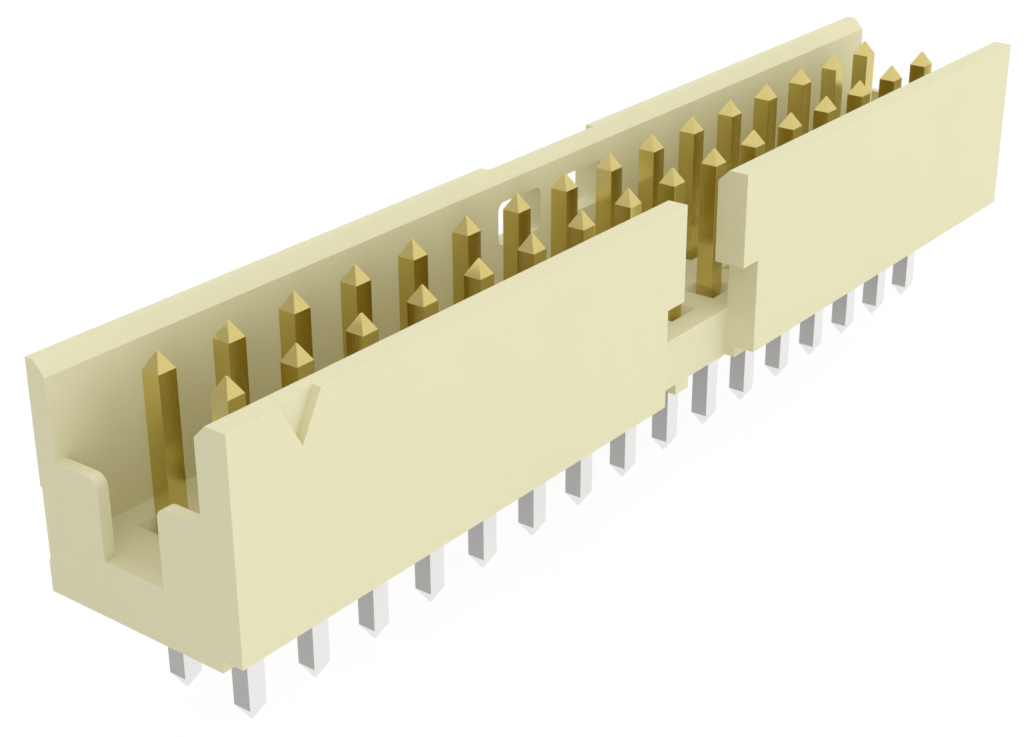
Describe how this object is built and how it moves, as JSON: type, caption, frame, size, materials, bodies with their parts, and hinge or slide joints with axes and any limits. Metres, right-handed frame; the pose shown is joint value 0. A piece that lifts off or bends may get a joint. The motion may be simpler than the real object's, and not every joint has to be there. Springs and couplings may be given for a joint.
{
  "type": "circuit board connector",
  "caption": "Straight box header for a circuit board: ivory moulded shroud with a keying slot, and rows of square pins, gold above and tin below.",
  "frame": {"origin": "middle of the contact grid, on the board's surface, which is the lower face of the middle stand-off bar", "axes": "+X along the rows of contacts, away from the pin 1 mark; +Z away from the board, towards the mating side; the slotted front wall is on the -Y side and the wall with the windows on the +Y side"},
  "size_m": [0.034, 0.0061, 0.0083],
  "materials": {
    "housing_plastic": "moulded, ivory",
    "contact_metal": "gold plated at the mating end, bright tin on the tail"
  },
  "bodies": {
    "root": {"housing": "housing_plastic", "contact_pin_01": "contact_metal", "contact_pin_02": "contact_metal", "contact_pin_03": "contact_metal", "contact_pin_04": "contact_metal", "contact_pin_05": "contact_metal", "contact_pin_06": "contact_metal", "contact_pin_07": "contact_metal", "contact_pin_08": "contact_metal", "contact_pin_09": "contact_metal", "contact_pin_10": "contact_metal", "contact_pin_11": "contact_metal", "contact_pin_12": "contact_metal", "contact_pin_13": "contact_metal", "contact_pin_14": "contact_metal", "contact_pin_15": "contact_metal", "contact_pin_16": "contact_metal", "contact_pin_17": "contact_metal", "contact_pin_18": "contact_metal", "contact_pin_19": "contact_metal", "contact_pin_20": "contact_metal", "contact_pin_21": "contact_metal", "contact_pin_22": "contact_metal", "contact_pin_23": "contact_metal", "contact_pin_24": "contact_metal", "contact_pin_25": "contact_metal", "contact_pin_26": "contact_metal", "contact_pin_27": "contact_metal", "contact_pin_28": "contact_metal", "contact_pin_29": "contact_metal", "contact_pin_30": "contact_metal", "contact_pin_31": "contact_metal", "contact_pin_32": "contact_metal"}
  },
  "joints": []
}
